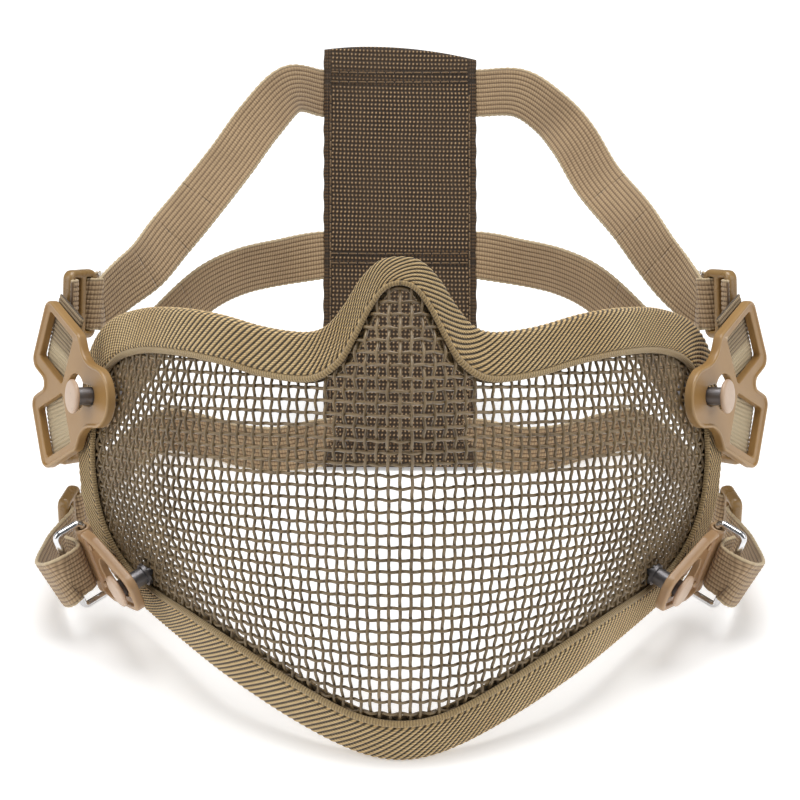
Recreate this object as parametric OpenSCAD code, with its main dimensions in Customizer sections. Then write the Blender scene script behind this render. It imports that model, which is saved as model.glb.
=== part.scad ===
// Half-face mask of woven wire: a formed steel mesh shell with a folded tape binding,
// four studs, two fan buckles, two lower tabs with rings, and an elastic harness that
// meets in a webbing panel behind the head. It stands on its chin, leaning back.

/* [Mask shell] */
// Lean of the mask from upright, as it stands on its chin (degrees)
lean = 25; // [22:1:28]
// Thickness of the woven mesh, two wires deep
mesh_t = 1.7; // [1.5:0.1:1.9]
// Front-to-back depth of the formed mesh
shell_depth = 78; // [74:1:82]
// Height of the nose ridge above the cheeks
nose_h = 17; // [12:1:20]

/* [Binding] */
// Thickness of the folded binding over both faces
binding_t = 4.4; // [4:0.1:5]

/* [Studs] */
// Diameter of the stud's post
post_d = 5; // [4.5:0.1:5.2]
// Diameter of the stud's cap
cap_d = 9.6; // [9:0.1:9.8]
// Height of the cap's underside above the mesh
post_h = 9.6; // [9:0.1:10]
// Diameter of the rivet that the post turns on
rivet_d = 3; // [2.5:0.1:3.2]

/* [Buckles and tabs] */
// Thickness of the buckle's plate
plate_t = 2.8; // [2.4:0.1:3]
// Diameter of the keyhole's round end
key_d = 10.4; // [10.2:0.1:10.8]
// Travel of the stud along the keyhole
key_travel = 8.4; // [8:0.1:9]
// Length of the lower tab from its stud to its ring
tab_len = 20; // [19:0.5:21]
// Width of the lower tab at its ring
tab_w = 22; // [20:0.5:22]
// Diameter of the ring's wire
ring_wire_d = 2; // [1.8:0.1:2]

/* [Harness] */
// Width of the elastic straps
strap_w = 15; // [13:0.5:15]
// Thickness of the elastic straps
strap_t = 1.2; // [1:0.1:1.4]
// Width of the back panel's webbing
panel_w = 48; // [46:1:50]
// Height of the back panel
panel_h = 133; // [130:1:136]
// Thickness of each of the panel's two layers
layer_t = 1.4; // [1.2:0.1:1.6]
// Lean of the back panel from upright (degrees)
panel_lean = 32; // [30:1:34]

/* [Hidden] */
$fn = 40;
khaki = [0.66, 0.56, 0.38];
moulded = [0.58, 0.46, 0.28];
elastic = [0.62, 0.51, 0.36];

// The frame's origin is under the middle of the whole object's box, on the floor.
origin_y = 110.1;
foot_z = 0.06;

// ---- Shape of the mesh, in the mask's own upright frame: x right, y back, z up ----
widest_z = 75;
widest_x = 89.5;
bend_at = 0.72;
bend_k = 28;
wing_slope = 1.111;
wing_extra = 1.03;
front_share = 0.40;
chin_round = 16;
chin_bulge = 16;
nose_z = 95;

function edge_x(z) = z < widest_z
    ? widest_x - 44 * pow((widest_z - z) / 75, 2)
    : widest_x - 4 * pow((z - widest_z) / 31, 2);
function bend(a) = ln(1 + exp(bend_k * (a - bend_at))) / bend_k;
function sweep_back(a) = (a < bend_at
    ? front_share * pow(a / bend_at, 2)
    : front_share + wing_slope * (a - bend_at)) + wing_extra * bend(a);
full_sweep = front_share + (wing_slope + wing_extra) * (1 - bend_at);
function nose_fade(z) = exp(-pow((z - nose_z) / (z < nose_z ? 22 : 25), 2));
function nose_half_w(z) = 17 - 6 * min(1, max(0, (z - 75) / 50));
function nose(x, z) = nose_h * nose_fade(z) * exp(-pow(x / nose_half_w(z), 2));
function face_y(z) = -chin_bulge * (1 - exp(-z / chin_round)) + 0.06 * max(0, z - 80);
function mesh_y(x, z) = face_y(z)
    + shell_depth * sweep_back(min(1.1, abs(x) / edge_x(z))) / full_sweep - nose(x, z);
function on_mesh(x, z) = [x, mesh_y(x, z), z];
function unit(v) = v / norm(v);
function mesh_normal(x, z) = unit(cross(
    on_mesh(x + 0.5, z) - on_mesh(x - 0.5, z), on_mesh(x, z + 0.5) - on_mesh(x, z - 0.5)));
function off_mesh(x, z, h) = on_mesh(x, z) + h * mesh_normal(x, z);

// ---- Outlines, right half from the nose down to the chin: [x, z] ----
rim_half = [
    [0, 131], [5, 130], [9.5, 125.5], [13.5, 119], [18, 113.8], [24, 111.8], [35, 113],
    [47, 116], [58, 117.4], [70, 116.8], [80.5, 113], [86.5, 105], [89, 92], [89.8, 76],
    [88.4, 62], [85, 50.5], [79.5, 41], [70.5, 33.6], [58, 26], [44, 18.2], [30, 10.5],
    [17, 4.3], [8, 1.1], [0, 0]
];
opening_half = [
    [0, 123.5], [3.6, 122], [7, 117], [10.2, 110.5], [14.5, 103.5], [22, 99], [34, 99.8],
    [46, 102.8], [57, 104.6], [68, 104.8], [76.5, 102.4], [81.4, 97], [83.8, 88],
    [84.8, 75.5], [83.6, 63.5], [80.4, 53.6], [74.8, 45.8], [66.6, 40.6], [55, 36.2],
    [42, 29.4], [29, 22], [16.5, 15.4], [8, 12.3], [0, 11.3]
];
half_n = len(rim_half) - 1;
function whole(half) = concat(
    half, [for (i = [half_n - 1 : -1 : 1]) [-half[i][0], half[i][1]]]);
rim = whole(rim_half);
opening = whole(opening_half);
rim_n = len(rim);

// Catmull-Rom value between b and c
function between(a, b, c, d, t) = b + 0.5 * t * (c - a
    + t * (2 * a - 5 * b + 4 * c - d + t * (3 * (b - c) + d - a)));
function round_trip(pts, steps) = [
    for (i = [0 : rim_n - 1], k = [0 : steps - 1])
        between(pts[(i + rim_n - 1) % rim_n], pts[i], pts[(i + 1) % rim_n],
            pts[(i + 2) % rim_n], k / steps)
];

steps = 3;
rim_line = round_trip(rim, steps);
opening_line = round_trip(opening, steps);
ring_n = len(rim_line);

// ---- Helpers ----
// Closed tube of rings: each ring lists the same number of points
module skin(rings, closed = false) {
    n = len(rings);
    m = len(rings[0]);
    last = closed ? n : n - 1;
    points = [for (r = rings) for (p = r) p];
    sides = [
        for (i = [0 : last - 1], j = [0 : m - 1])
            each [
                [i * m + j, ((i + 1) % n) * m + j, ((i + 1) % n) * m + (j + 1) % m],
                [i * m + j, ((i + 1) % n) * m + (j + 1) % m, i * m + (j + 1) % m]
            ]
    ];
    caps = closed ? [] : [
        [for (j = [0 : m - 1]) j],
        [for (j = [m - 1 : -1 : 0]) (n - 1) * m + j]
    ];
    polyhedron(points, concat(sides, caps), convexity = 8);
}

module place() {
    translate([0, -origin_y, foot_z]) children();
}

module worn() {
    place() rotate([-lean, 0, 0]) children();
}

// side is 1 on the right and -1 on the left
module on_side(side) {
    if (side > 0) children();
    else mirror([1, 0, 0]) children();
}

// ---- Places of the studs, as [x, z, yaw, roll, pitch, plate tilt, plate height] ----
upper = [81, 92.5, 27, 0, 5, 7, 6.6];
lower = [68.5, 45, 24, 28, 20, 0, 9.4];
skin_h = mesh_t / 2;
stud_gap = 0.6;

// X runs back along the strap, Y up and Z out of the mesh, at the stud's foot
module at_stud(stud) {
    worn() translate(on_mesh(stud[0], stud[1]))
        rotate([90 + stud[3], 0, 90 - stud[2]]) children();
}

// The same for the plate that hangs on the stud, with Z = 0 on its outer face
module at_plate(stud) {
    at_stud(stud) translate([0, 0, stud[6]]) rotate([0, 0, stud[4]])
        rotate([0, -stud[5], 0]) children();
}

// ---- Rounded polygons: corners are [x, y, radius], counterclockwise ----
function xy(v) = [v[0], v[1]];
function fillet(p, q, s, r) =
    let (
        u1 = unit(p - q), u2 = unit(s - q), half = acos(u1 * u2) / 2,
        c = q + unit(u1 + u2) * r / sin(half), d = r / tan(half),
        v1 = q + u1 * d - c, v2 = q + u2 * d - c,
        a1 = atan2(v1[1], v1[0]), turn = (atan2(v2[1], v2[0]) - a1 + 540) % 360 - 180
    )
    [for (k = [0 : 6]) let (a = a1 + turn * k / 6) c + r * [cos(a), sin(a)]];
function rounded(corners) = let (n = len(corners)) [
    for (i = [0 : n - 1])
        each fillet(xy(corners[(i + n - 1) % n]), xy(corners[i]),
            xy(corners[(i + 1) % n]), corners[i][2])
];
function box_corners(w, h, r) = [
    [-w / 2, -h / 2, r], [w / 2, -h / 2, r], [w / 2, h / 2, r], [-w / 2, h / 2, r]];

// ---- Mesh shell and binding ----
shell_rings = [0.12, 0.24, 0.36, 0.46, 0.56, 0.65, 0.73, 0.8, 0.86, 0.92, 0.97];
shell_edge = 0.972;
centre_z = 70;
function spoke(i, f) = let (p = rim_line[i]) [
    p[0] * f * shell_edge, centre_z + (p[1] - centre_z) * f * shell_edge];

module wire_mesh() {
    rings = concat(shell_rings, [1]);
    m = len(rings);
    front = [for (f = rings, i = [0 : ring_n - 1])
        let (q = spoke(i, f)) off_mesh(q[0], q[1], skin_h)];
    back = [for (f = rings, i = [0 : ring_n - 1])
        let (q = spoke(i, f)) off_mesh(q[0], q[1], -skin_h)];
    back_at = m * ring_n;
    mid = 2 * back_at;
    points = concat(front, back, [
        off_mesh(0, centre_z, skin_h), off_mesh(0, centre_z, -skin_h)]);
    faces = [
        for (i = [0 : ring_n - 1])
            let (j = (i + 1) % ring_n)
            each concat(
                [[mid, j, i], [mid + 1, back_at + i, back_at + j]],
                [for (k = [0 : m - 2]) each [
                    [k * ring_n + i, k * ring_n + j, (k + 1) * ring_n + j],
                    [k * ring_n + i, (k + 1) * ring_n + j, (k + 1) * ring_n + i],
                    [back_at + k * ring_n + i, back_at + (k + 1) * ring_n + j,
                        back_at + k * ring_n + j],
                    [back_at + k * ring_n + i, back_at + (k + 1) * ring_n + i,
                        back_at + (k + 1) * ring_n + j]
                ]],
                [[(m - 1) * ring_n + i, (m - 1) * ring_n + j,
                    back_at + (m - 1) * ring_n + j],
                [(m - 1) * ring_n + i, back_at + (m - 1) * ring_n + j,
                    back_at + (m - 1) * ring_n + i]]
            )
    ];
    color([0.42, 0.37, 0.30]) worn() polyhedron(points, faces, convexity = 10);
}

// Across the folded tape: [share of the way from the rim's edge to the opening, height]
fold_h = binding_t / 2;
slot_h = skin_h + 0.12;
fold = [
    [1, slot_h], [1, fold_h - 0.3], [0.9, fold_h], [0.14, fold_h], [0.03, fold_h * 0.7],
    [0, 0], [0.03, -fold_h * 0.7], [0.14, -fold_h], [0.9, -fold_h], [1, 0.3 - fold_h],
    [1, -slot_h], [0.55, -slot_h], [0.16, -slot_h], [0.16, slot_h], [0.55, slot_h]
];

module rim_binding() {
    rings = [
        for (i = [0 : ring_n - 1]) [
            for (c = fold)
                let (q = rim_line[i] + c[0] * (opening_line[i] - rim_line[i]))
                off_mesh(q[0], q[1], c[1])
        ]
    ];
    color(khaki) worn() skin(rings, closed = true);
}

// ---- Studs ----
washer_d = 8;
flange_d = 6.4;
rivet_play = 0.05;
cap_t = 1.4;

// Washer inside the mesh with the pin that the post turns on
module rivet(stud, side) {
    color([0.55, 0.55, 0.56]) on_side(side) at_stud(stud) {
        translate([0, 0, -skin_h - 1.6]) cylinder(h = 1.4, d = washer_d);
        translate([0, 0, -skin_h - 0.4]) cylinder(h = skin_h * 2 + 6.4, d = rivet_d);
    }
}

module post(stud, side) {
    foot = skin_h + stud_gap;
    color([0.5, 0.5, 0.52]) on_side(side) at_stud(stud) difference() {
        union() {
            translate([0, 0, foot]) cylinder(h = 1, d = flange_d);
            translate([0, 0, foot]) cylinder(h = post_h - stud_gap, d = post_d);
        }
        translate([0, 0, foot - 1])
            cylinder(h = 7.2, d = rivet_d + 2 * rivet_play);
    }
}

module cap(stud, side) {
    color([0.78, 0.66, 0.53]) on_side(side) at_stud(stud)
        translate([0, 0, skin_h + post_h]) rotate_extrude() polygon([
            [0, 0], [cap_d / 2 - 0.3, 0], [cap_d / 2, 0.4], [cap_d / 2, 0.8],
            [cap_d / 2 - 0.5, cap_t - 0.15], [0, cap_t]
        ]);
}

module keyhole() {
    slot_r = post_d / 2 + 0.4;
    translate([0, 0, -plate_t - 3]) {
        cylinder(h = plate_t + 6, r = slot_r);
        translate([key_travel, 0, 0]) cylinder(h = plate_t + 6, d = key_d);
        translate([0, -slot_r, 0]) cube([key_travel, 2 * slot_r, plate_t + 6]);
    }
}

// ---- Fan buckle: a rounded nose on the stud and two splayed strap windows ----
wing_turn = 24;
wing_at = [21, 11.2];
window = [15.8, 14.8];
bar = 3;
waist_bar = 4.2;
nose_r = 8.6;
nose_at = [-3, 0];
wing_r = 3.4;

function on_wing(a, b) = wing_at + a * [cos(wing_turn), sin(wing_turn)]
    + b * [-sin(wing_turn), cos(wing_turn)];
function upper_wing() = let (
        a = window[0] / 2 + bar, top = window[1] / 2 + bar, low = window[1] / 2 + waist_bar,
        p1 = on_wing(a, -low), p2 = on_wing(a, top), p3 = on_wing(-a, top)
    ) [[p1[0], p1[1], wing_r], [p2[0], p2[1], wing_r], [p3[0], p3[1], wing_r]];
function flipped(corners) = [
    for (i = [len(corners) - 1 : -1 : 0]) [corners[i][0], -corners[i][1], corners[i][2]]];
flank = [[3.5, 9.4, 8]];
notch = [[24.6, 0, 2]];
nose_arc = [for (a = [102 : 8 : 258]) nose_at + nose_r * [cos(a), sin(a)]];

module fan_outline() {
    corners = concat(flipped(flank), flipped(upper_wing()), notch, upper_wing(), flank);
    n = len(corners);
    first = nose_arc[0];
    last = nose_arc[len(nose_arc) - 1];
    polygon(concat(nose_arc, [
        for (i = [0 : n - 1])
            each fillet(i == 0 ? last : xy(corners[i - 1]), xy(corners[i]),
                i == n - 1 ? first : xy(corners[i + 1]), corners[i][2])
    ]));
}

module window_cuts() {
    for (flip = [1, -1]) scale([1, flip, 1]) translate(wing_at) rotate(wing_turn)
        polygon(rounded(box_corners(window[0], window[1], 0.8)));
}

module fan_buckle(side) {
    color(moulded) on_side(side) at_plate(upper) difference() {
        translate([0, 0, -plate_t]) linear_extrude(plate_t) difference() {
            fan_outline();
            window_cuts();
        }
        keyhole();
    }
}

// ---- Lower tab: rounded triangle whose wide end is folded round the ring ----
tip_r = 4.2;
tab_t = 2.4;
hinge_r = 2.3;
hinge_drop = 1.5;
ring_play = 0.05;

module lower_tab(side) {
    color([0.67, 0.53, 0.38]) on_side(side) at_plate(lower) difference() {
        union() {
            translate([0, 0, -tab_t]) linear_extrude(tab_t) polygon(rounded([
                [-7.5, -5, tip_r], [tab_len - 8, -tab_w / 2, 4],
                [tab_len - 1, -tab_w / 2, 0.4], [tab_len - 1, tab_w / 2, 0.4],
                [tab_len - 8, tab_w / 2, 4], [-7.5, 5, tip_r]
            ]));
            translate([tab_len, tab_w / 2, -hinge_drop]) rotate([90, 0, 0])
                cylinder(h = tab_w, r = hinge_r);
        }
        keyhole();
        translate([tab_len, tab_w, -hinge_drop]) rotate([90, 0, 0])
            cylinder(h = 2 * tab_w, d = ring_wire_d + 2 * ring_play);
    }
}

// Rectangular wire ring with rounded corners, swung out from the tab
ring_turn = 90;
ring_reach = 8;
ring_w = 25;
ring_corner_r = 1.4;

module ring_corner() {
    rotate_extrude(angle = 90) translate([ring_corner_r, 0]) circle(d = ring_wire_d);
}

module ring(side) {
    half = ring_w / 2;
    r = ring_corner_r;
    color("silver") on_side(side) at_plate(lower)
        translate([tab_len, 0, -hinge_drop]) rotate([0, -ring_turn, 0]) {
            for (x = [0, ring_reach]) translate([x, half - r, 0]) rotate([90, 0, 0])
                cylinder(h = ring_w - 2 * r, d = ring_wire_d);
            for (y = [-half, half]) translate([r, y, 0]) rotate([0, 90, 0])
                cylinder(h = ring_reach - 2 * r, d = ring_wire_d);
            translate([ring_reach - r, half - r, 0]) ring_corner();
            translate([r, half - r, 0]) rotate(90) ring_corner();
            translate([r, r - half, 0]) rotate(180) ring_corner();
            translate([ring_reach - r, r - half, 0]) rotate(270) ring_corner();
        }
}

// ---- Three-bar slider: X along the strap, Y along its bars ----
slider_w = 20;
slider_len = 12;
slider_t = 3.6;
slider_bar = 2.2;

module slider_body() {
    gap = (slider_len - 3 * slider_bar) / 2;
    translate([0, 0, -slider_t / 2]) linear_extrude(slider_t) difference() {
        polygon(rounded(box_corners(slider_len, slider_w, 1.8)));
        for (s = [-1, 1]) translate([s * (slider_bar + gap) / 2, 0])
            square([gap, slider_w - 2 * slider_bar], center = true);
    }
}

slider_turn = 67;
top_slider_at = [28, 22.6, -11.2];
middle_slider_at = [30, -14, -11];
module harness_slider(at, side) {
    color([0.5, 0.41, 0.24]) on_side(side) at_plate(upper) translate(at)
        rotate([0, slider_turn, 0]) slider_body();
}

lower_slider_at = [97.2, 104, 10.2];
lower_slider_turn = 102;
module lower_slider(side) {
    color([0.5, 0.41, 0.24]) on_side(side) place() translate(lower_slider_at)
        rotate([90, 0, lower_slider_turn]) slider_body();
}

// ---- Elastic straps: [centre x, y, z], [direction of the strap's width] ----
// Points are on the right, on the floor frame before the origin is moved.
function smooth(path, per) = let (n = len(path)) [
    for (i = [0 : n - 2], k = [0 : (i == n - 2 ? per : per - 1)])
        let (
            a = path[max(0, i - 1)], b = path[i], c = path[i + 1],
            d = path[min(n - 1, i + 2)], t = k / per
        )
        [between(a[0], b[0], c[0], d[0], t), between(a[1], b[1], c[1], d[1], t)]
];
function ribbon(path, w, t) = let (n = len(path)) [
    for (i = [0 : n - 1])
        let (
            along = unit(path[min(n - 1, i + 1)][0] - path[max(0, i - 1)][0]),
            raw = path[i][1],
            across = unit(raw - (raw * along) * along),
            out = cross(along, across),
            c = path[i][0]
        )
        [
            c + across * w / 2 + out * t / 2, c + across * w / 2 - out * t / 2,
            c - across * w / 2 - out * t / 2, c - across * w / 2 + out * t / 2
        ]
];
module strap(path, per = 4) {
    skin(ribbon(smooth(path, per), strap_w, strap_t));
}

upright = [0, 0.42, 0.91];
panel_up = [0, sin(panel_lean), cos(panel_lean)];
left_top_route = [
    [[24.6, 215.6, 101], panel_up], [[34, 205.6, 106.2], [0.2, 0.5, 0.85]],
    [[43, 193, 101], [0.5, 0.45, 0.7]], [[52, 180, 92.5], [0.7, 0.35, 0.5]],
    [[61.5, 165, 85], [0.8, 0.2, 0.5]], [[69, 152, 80], [0.8, -0.1, 0.6]],
    [[74.5, 141, 76.5], [0.6, 0, 0.8]], [[80.8, 132, 74.4], [0.2, 0.2, 0.95]],
    [[86.1, 125.5, 71.9], upright]
];
right_top_route = [
    [[25.2, 215.4, 101.1], panel_up], [[37, 206.4, 104.7], [0, 0.5, 0.86]],
    [[46, 196, 102.5], [0.1, 0.5, 0.86]], [[53, 185, 98], [0.5, 0.5, 0.7]],
    [[60, 172, 90], [0.75, 0.3, 0.55]], [[69, 154, 85], [0.7, 0.2, 0.7]],
    [[75.5, 141, 79.5], [0.45, 0.3, 0.85]], [[81.2, 131.8, 75], [0.2, 0.4, 0.9]],
    [[86.1, 125.5, 71.9], upright]
];
middle_route = [
    [[26, 187, 58], panel_up], [[37, 181, 58.5], [0, 0.2, 0.98]],
    [[49, 171, 60], [0.1, 0.1, 0.98]], [[59, 160, 59.5], [0.1, 0.2, 0.97]],
    [[68, 147, 56], [0.1, 0.3, 0.95]], [[77, 133, 50], [0.1, 0.3, 0.95]],
    [[82.8, 123.6, 42.6], [0, 0.36, 0.93]], [[88.4, 114.6, 37], upright]
];
lower_front_route = [
    [[95, 61, 18.5], [0.55, 0.27, 0.79]], [[99.5, 64, 14.5], [0.52, 0.2, 0.83]],
    [[103.2, 70.5, 10.2], [0.47, 0.1, 0.88]], [[104, 79, 8.4], [0.3, 0, 0.95]],
    [[101.5, 88.5, 8], [0.1, 0, 1]], [[98.6, 97.4, 8], [0, 0, 1]]
];
lower_back_route = [
    [[95.8, 110.6, 8], [0, 0, 1]], [[92.5, 124, 7.8], [0, 0, 1]],
    [[88, 140, 7.7], [0, 0, 1]], [[81.5, 156, 7.7], [0, 0, 1]],
    [[73, 165, 7.7], [0, 0, 1]], [[62, 161.5, 7.7], [0, 0, 1]],
    [[50, 155, 7.7], [0, 0, 1]], [[38, 152.6, 7.7], [0, 0.1, 1]],
    [[24.6, 154.5, 7.9], [0, 0.3, 0.95]]
];

module top_strap(side) {
    route = side > 0 ? right_top_route : left_top_route;
    color(elastic) on_side(side) place() strap(route);
}

module middle_strap(side) {
    color(elastic) on_side(side) place() strap(middle_route);
}

module lower_strap(side) {
    color(elastic) on_side(side) place() {
        strap(lower_front_route, 3);
        strap(lower_back_route);
    }
}

// Band behind the buckle's bars, in the plate's frame
wing_along = [cos(wing_turn), sin(wing_turn), 0];
band_half = [
    [[17.9, 23.1, -3.8], wing_along], [[19.6, 19, -3.6], wing_along],
    [[22.5, 11.8, -3.7], wing_along], [[25.2, 4, -3.7], [0.97, 0.25, 0]]
];
function flip_y(v) = [v[0], -v[1], v[2]];
band_route = concat(band_half, [[[26, 0, -3.7], [1, 0, 0]]],
    [for (i = [3 : -1 : 1]) [flip_y(band_half[i][0]), flip_y(band_half[i][1])]]);
module buckle_band(side) {
    color(elastic) on_side(side) at_plate(upper) strap(band_route, 3);
}

// ---- Back panel: two layers of webbing ----
panel_foot = [0, 153.2, 0.9];
module panel_layer(inner) {
    color([0.33, 0.26, 0.17]) place() translate(panel_foot)
        rotate([-panel_lean, 0, 0]) translate([-panel_w / 2, 0, 0])
            translate([0, inner ? -layer_t : 0, 0]) cube([panel_w, layer_t, panel_h]);
}

wire_mesh();
rim_binding();
rivet(upper, -1);  // left_upper_rivet
rivet(upper, 1);  // right_upper_rivet
rivet(lower, -1);  // left_lower_rivet
rivet(lower, 1);  // right_lower_rivet
post(upper, -1);  // left_upper_post
post(upper, 1);  // right_upper_post
post(lower, -1);  // left_lower_post
post(lower, 1);  // right_lower_post
cap(upper, -1);  // left_upper_cap
cap(upper, 1);  // right_upper_cap
cap(lower, -1);  // left_lower_cap
cap(lower, 1);  // right_lower_cap
fan_buckle(-1);  // left_fan_buckle
fan_buckle(1);  // right_fan_buckle
buckle_band(-1);  // left_buckle_band
buckle_band(1);  // right_buckle_band
harness_slider(top_slider_at, -1);  // left_top_slider
harness_slider(top_slider_at, 1);  // right_top_slider
harness_slider(middle_slider_at, -1);  // left_middle_slider
harness_slider(middle_slider_at, 1);  // right_middle_slider
lower_slider(-1);  // left_lower_slider
lower_slider(1);  // right_lower_slider
lower_tab(-1);  // left_lower_tab
lower_tab(1);  // right_lower_tab
ring(-1);  // left_ring
ring(1);  // right_ring
top_strap(-1);  // left_top_strap
top_strap(1);  // right_top_strap
middle_strap(-1);  // left_middle_strap
middle_strap(1);  // right_middle_strap
lower_strap(-1);  // left_lower_strap
lower_strap(1);  // right_lower_strap
panel_layer(false);  // back_panel_outer
panel_layer(true);  // back_panel_inner
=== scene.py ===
"""Looks of a woven-wire half mask: mesh, taped rim, moulded buckles and an elastic harness."""

import math

import bmesh
import bpy
import numpy as np
from mathutils import Matrix, Vector


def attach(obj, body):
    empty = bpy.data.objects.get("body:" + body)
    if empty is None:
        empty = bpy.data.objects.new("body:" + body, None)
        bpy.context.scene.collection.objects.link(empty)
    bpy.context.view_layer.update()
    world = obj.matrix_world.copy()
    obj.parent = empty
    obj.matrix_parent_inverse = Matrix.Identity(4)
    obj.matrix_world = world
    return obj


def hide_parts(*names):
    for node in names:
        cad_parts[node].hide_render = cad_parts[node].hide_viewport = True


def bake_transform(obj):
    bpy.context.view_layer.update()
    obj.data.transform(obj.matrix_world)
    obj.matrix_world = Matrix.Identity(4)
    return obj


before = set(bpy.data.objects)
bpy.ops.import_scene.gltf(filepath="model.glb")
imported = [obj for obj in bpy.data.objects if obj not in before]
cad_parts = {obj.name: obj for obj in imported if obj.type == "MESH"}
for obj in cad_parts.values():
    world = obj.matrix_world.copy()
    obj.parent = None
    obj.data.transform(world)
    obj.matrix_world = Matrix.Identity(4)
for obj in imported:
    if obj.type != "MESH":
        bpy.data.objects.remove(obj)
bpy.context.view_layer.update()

# ---- The mask's frame: millimetres, x right, y back, z up, with the chin at the origin ----
ORIGIN_Y = 110.1
FOOT_Z = 0.06
LEAN = math.radians(25)
WIDEST_Z = 75
WIDEST_X = 89.5
SHELL_DEPTH = 78
NOSE_H = 17
NOSE_Z = 95
BEND_AT = 0.72
BEND_K = 28
WING_SLOPE = 1.111
WING_EXTRA = 1.03
FRONT_SHARE = 0.40
FULL_SWEEP = FRONT_SHARE + (WING_SLOPE + WING_EXTRA) * (1 - BEND_AT)
CHIN_BULGE = 16
CHIN_ROUND = 16
MESH_HALF_T = 0.85
UPPER = dict(x=81, z=92.5, yaw=27, roll=0, pitch=5, tilt=7, height=6.6)
LOWER = dict(x=68.5, z=45, yaw=24, roll=28, pitch=20, tilt=0, height=9.4)
SIDES = {"left": -1, "right": 1}


def edge_x(z):
    """Half the mesh's width at a height."""
    below = WIDEST_X - 44 * ((WIDEST_Z - z) / 75) ** 2
    above = WIDEST_X - 4 * ((z - WIDEST_Z) / 31) ** 2
    return np.where(z < WIDEST_Z, below, above)


def bend(a):
    """A soft corner: nothing before BEND_AT, one for one after it."""
    return np.log1p(np.exp(BEND_K * (a - BEND_AT))) / BEND_K


def sweep_back(a):
    """How far back the cheek goes at a share of the half width."""
    front = FRONT_SHARE * (a / BEND_AT) ** 2
    cheek = np.where(a < BEND_AT, front, FRONT_SHARE + WING_SLOPE * (a - BEND_AT))
    return cheek + WING_EXTRA * bend(a)


def mesh_y(x, z):
    """The mesh's surface: chin, cheeks swept back and the nose ridge."""
    fade = np.exp(-(((z - NOSE_Z) / np.where(z < NOSE_Z, 22, 25)) ** 2))
    half_w = 17 - 6 * np.clip((z - 75) / 50, 0, 1)
    nose = NOSE_H * fade * np.exp(-((x / half_w) ** 2))
    face = -CHIN_BULGE * (1 - np.exp(-z / CHIN_ROUND)) + 0.06 * np.maximum(0, z - 80)
    share = np.minimum(1.1, np.abs(x) / edge_x(z))
    return face + SHELL_DEPTH * sweep_back(share) / FULL_SWEEP - nose


def on_mesh(x, z):
    x, z = np.broadcast_arrays(np.asarray(x, float), np.asarray(z, float))
    return np.stack([x, mesh_y(x, z), z], -1)


def unit(v):
    return v / np.linalg.norm(v, axis=-1, keepdims=True)


def mesh_normal(x, z):
    across = on_mesh(x + 0.5, z) - on_mesh(x - 0.5, z)
    up = on_mesh(x, z + 0.5) - on_mesh(x, z - 0.5)
    return unit(np.cross(across, up))


def off_mesh(x, z, h):
    return on_mesh(x, z) + np.asarray(h)[..., None] * mesh_normal(x, z)


def leant(p):
    """From the mask's upright frame to the floor frame."""
    c, s = math.cos(LEAN), math.sin(LEAN)
    x, y, z = p[..., 0], p[..., 1], p[..., 2]
    return np.stack([x, c * y + s * z, c * z - s * y], -1)


def in_row(p, side=1):
    """From the floor frame in millimetres to the row frame in metres."""
    p = np.asarray(p, float)
    return np.stack([side * p[..., 0], p[..., 1] - ORIGIN_Y, p[..., 2] + FOOT_Z], -1) / 1000


def plate_matrix(stud, on_plate=True):
    """A stud's frame: X back along the strap, Y up, Z out of the mesh. Right side, floor frame."""
    foot = leant(on_mesh(stud["x"], stud["z"]))
    m = Matrix.Translation(Vector(foot)) @ Matrix.Rotation(-LEAN, 4, "X")
    m = m @ Matrix.Rotation(math.radians(90 - stud["yaw"]), 4, "Z")
    m = m @ Matrix.Rotation(math.radians(90 + stud["roll"]), 4, "X")
    if on_plate:
        m = m @ Matrix.Translation((0, 0, stud["height"]))
        m = m @ Matrix.Rotation(math.radians(stud["pitch"]), 4, "Z")
        m = m @ Matrix.Rotation(-math.radians(stud["tilt"]), 4, "Y")
    return np.array(m)


def moved(m, p):
    """Points under a 4 by 4 matrix."""
    return np.asarray(p, float) @ m[:3, :3].T + m[:3, 3]


# ---- Mesh building ----
def build(name, points, faces, material, side=1, weave=None):
    """A mesh from floor-frame points, mirrored for the left. weave is (along, across, height)."""
    mesh = bpy.data.meshes.new(name)
    faces = [tuple(f)[::side] for f in faces]
    mesh.from_pydata(in_row(points, side).tolist(), [], faces)
    if weave is not None:
        layer = mesh.attributes.new("weave", "FLOAT_VECTOR", "POINT")
        layer.data.foreach_set("vector", np.asarray(weave, np.float32).ravel())
    mesh.polygons.foreach_set("use_smooth", [True] * len(mesh.polygons))
    mesh.materials.append(material)
    mesh.update()
    obj = bpy.data.objects.new(name, mesh)
    bpy.context.scene.collection.objects.link(obj)
    return obj


def grid_faces(rows, cols, round_rows=False, round_cols=True):
    """Quads of a grid of points, numbered row by row."""
    i = np.arange(rows if round_rows else rows - 1)[:, None]
    j = np.arange(cols if round_cols else cols - 1)[None, :]
    i2, j2 = (i + 1) % rows, (j + 1) % cols
    quads = np.stack([i * cols + j, i2 * cols + j, i2 * cols + j2, i * cols + j2], -1)
    return quads.reshape(-1, 4).tolist()


def tube(points):
    """Points and faces of a closed skin over rings, shaped (rows, cols, 3)."""
    rows, cols = points.shape[:2]
    faces = grid_faces(rows, cols)
    faces.append(list(range(cols)))
    faces.append(list(range(rows * cols - 1, (rows - 1) * cols - 1, -1)))
    return points.reshape(-1, 3), faces


def cord(centre, a, b, radius, sides):
    """Rings of a round cord about its centres, across the unit vectors a and b."""
    angle = (np.arange(sides) * 2 * math.pi / sides)[None, :, None]
    return centre[:, None] + radius * (np.cos(angle) * a[:, None] + np.sin(angle) * b[:, None])


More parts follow.
